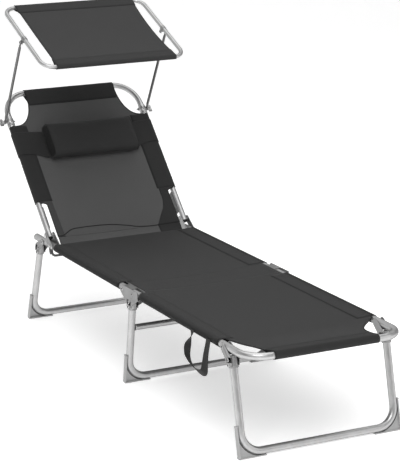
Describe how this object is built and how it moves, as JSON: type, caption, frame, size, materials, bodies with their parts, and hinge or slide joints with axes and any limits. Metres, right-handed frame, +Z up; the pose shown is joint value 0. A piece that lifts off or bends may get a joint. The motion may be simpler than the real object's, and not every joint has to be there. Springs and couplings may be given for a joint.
{
  "type": "sun lounger with canopy",
  "caption": "Folding sun lounger with mesh cloth on a tube frame, reclining backrest with a tied pillow, U-shaped legs and a tilting canopy on swinging rods.",
  "frame": {"origin": "on the ground under the middle of the overall box", "axes": "+Z up, +Y towards the head end, +X to the sitter's right side seen from the foot end"},
  "size_m": [0.5662, 1.7768, 1.0335],
  "materials": {
    "frame_steel": "semi-gloss grey powder coat",
    "plate_steel": "zinc plated, satin",
    "bright_steel": "bright plated",
    "foot_plastic": "moulded grey, matte",
    "black_plastic": "moulded black, matte",
    "seat_fabric": "open woven coated mesh, dark grey",
    "back_fabric": "open woven coated mesh, dark grey",
    "canopy_fabric": "plain weave, dark grey",
    "pillow_fabric": "woven cover, charcoal",
    "webbing": "flat woven tape, near black"
  },
  "bodies": {
    "seat_frame": {"seat_rail_left": "frame_steel", "seat_rail_right": "frame_steel", "rail_cap_left": "foot_plastic", "rail_cap_right": "foot_plastic", "seat_cloth": "seat_fabric", "hinge_plate_left": "plate_steel", "hinge_plate_right": "plate_steel"},
    "middle_leg": {"middle_leg": "frame_steel", "middle_foot_left": "foot_plastic", "middle_foot_right": "foot_plastic", "middle_bracket_left": "plate_steel", "middle_bracket_right": "plate_steel", "cross_bar": "frame_steel", "hinge_cloth": "seat_fabric"},
    "foot_frame": {"foot_tube": "frame_steel", "foot_cloth": "seat_fabric", "carry_webbing": "webbing"},
    "front_leg": {"front_leg": "frame_steel", "front_foot_left": "foot_plastic", "front_foot_right": "foot_plastic", "front_bracket_left": "plate_steel", "front_bracket_right": "plate_steel"},
    "rear_leg": {"rear_leg": "frame_steel", "rear_foot_left": "foot_plastic", "rear_foot_right": "foot_plastic", "rear_bracket_left": "plate_steel", "rear_bracket_right": "plate_steel"},
    "backrest": {"side_tube_left": "frame_steel", "side_tube_right": "frame_steel", "tube_plug_left": "black_plastic", "tube_plug_right": "black_plastic", "collar_left": "bright_steel", "collar_right": "bright_steel", "bow": "frame_steel", "rack_left": "plate_steel", "rack_right": "plate_steel", "back_cloth": "back_fabric", "pillow": "pillow_fabric", "pillow_band": "pillow_fabric", "pivot_bolt_left": "bright_steel", "pivot_bolt_right": "bright_steel", "shoulder_bolt_left": "plate_steel", "shoulder_bolt_right": "plate_steel"},
    "stay": {"stay_lever_left": "plate_steel", "stay_lever_right": "plate_steel", "stay_rod": "plate_steel"},
    "canopy_arms": {"canopy_rod_left": "frame_steel", "canopy_rod_right": "frame_steel"},
    "canopy": {"canopy_frame": "frame_steel", "canopy_cloth": "canopy_fabric", "canopy_clip_left": "plate_steel", "canopy_clip_right": "plate_steel"}
  },
  "joints": [
    {"name": "middle_fold", "type": "hinge", "parent": "seat_frame", "child": "middle_leg", "pos_m": [0, -0.0981, 0.296], "axis": [-1, 0, 0], "range_deg": [0, 90]},
    {"name": "foot_fold", "type": "hinge", "parent": "middle_leg", "child": "foot_frame", "pos_m": [0, -0.1681, 0.296], "axis": [-1, 0, 0], "range_deg": [0, 90]},
    {"name": "front_leg_fold", "type": "hinge", "parent": "foot_frame", "child": "front_leg", "pos_m": [0, -0.7431, 0.296], "axis": [1, 0, 0], "range_deg": [0, 100]},
    {"name": "rear_leg_fold", "type": "hinge", "parent": "seat_frame", "child": "rear_leg", "pos_m": [0, 0.5169, 0.296], "axis": [-1, 0, 0], "range_deg": [0, 105]},
    {"name": "backrest_recline", "type": "hinge", "parent": "seat_frame", "child": "backrest", "pos_m": [0, 0.4843, 0.324], "axis": [-1, 0, 0], "range_deg": [-10, 45]},
    {"name": "stay_swing", "type": "hinge", "parent": "seat_frame", "child": "stay", "pos_m": [0, 0.5289, 0.294], "axis": [-1, 0, 0], "range_deg": [-16, 71]},
    {"name": "canopy_swing", "type": "hinge", "parent": "backrest", "child": "canopy_arms", "pos_m": [0, 0.80564, 0.64473], "axis": [1, 0, 0], "range_deg": [-60, 50]},
    {"name": "canopy_tilt", "type": "hinge", "parent": "canopy_arms", "child": "canopy", "pos_m": [0, 0.65055, 0.93828], "axis": [1, 0, 0], "range_deg": [-50, 40]}
  ],
  "couplings": [
    {"joint": "stay_swing", "follows": "backrest_recline", "ratio": 1.56}
  ]
}
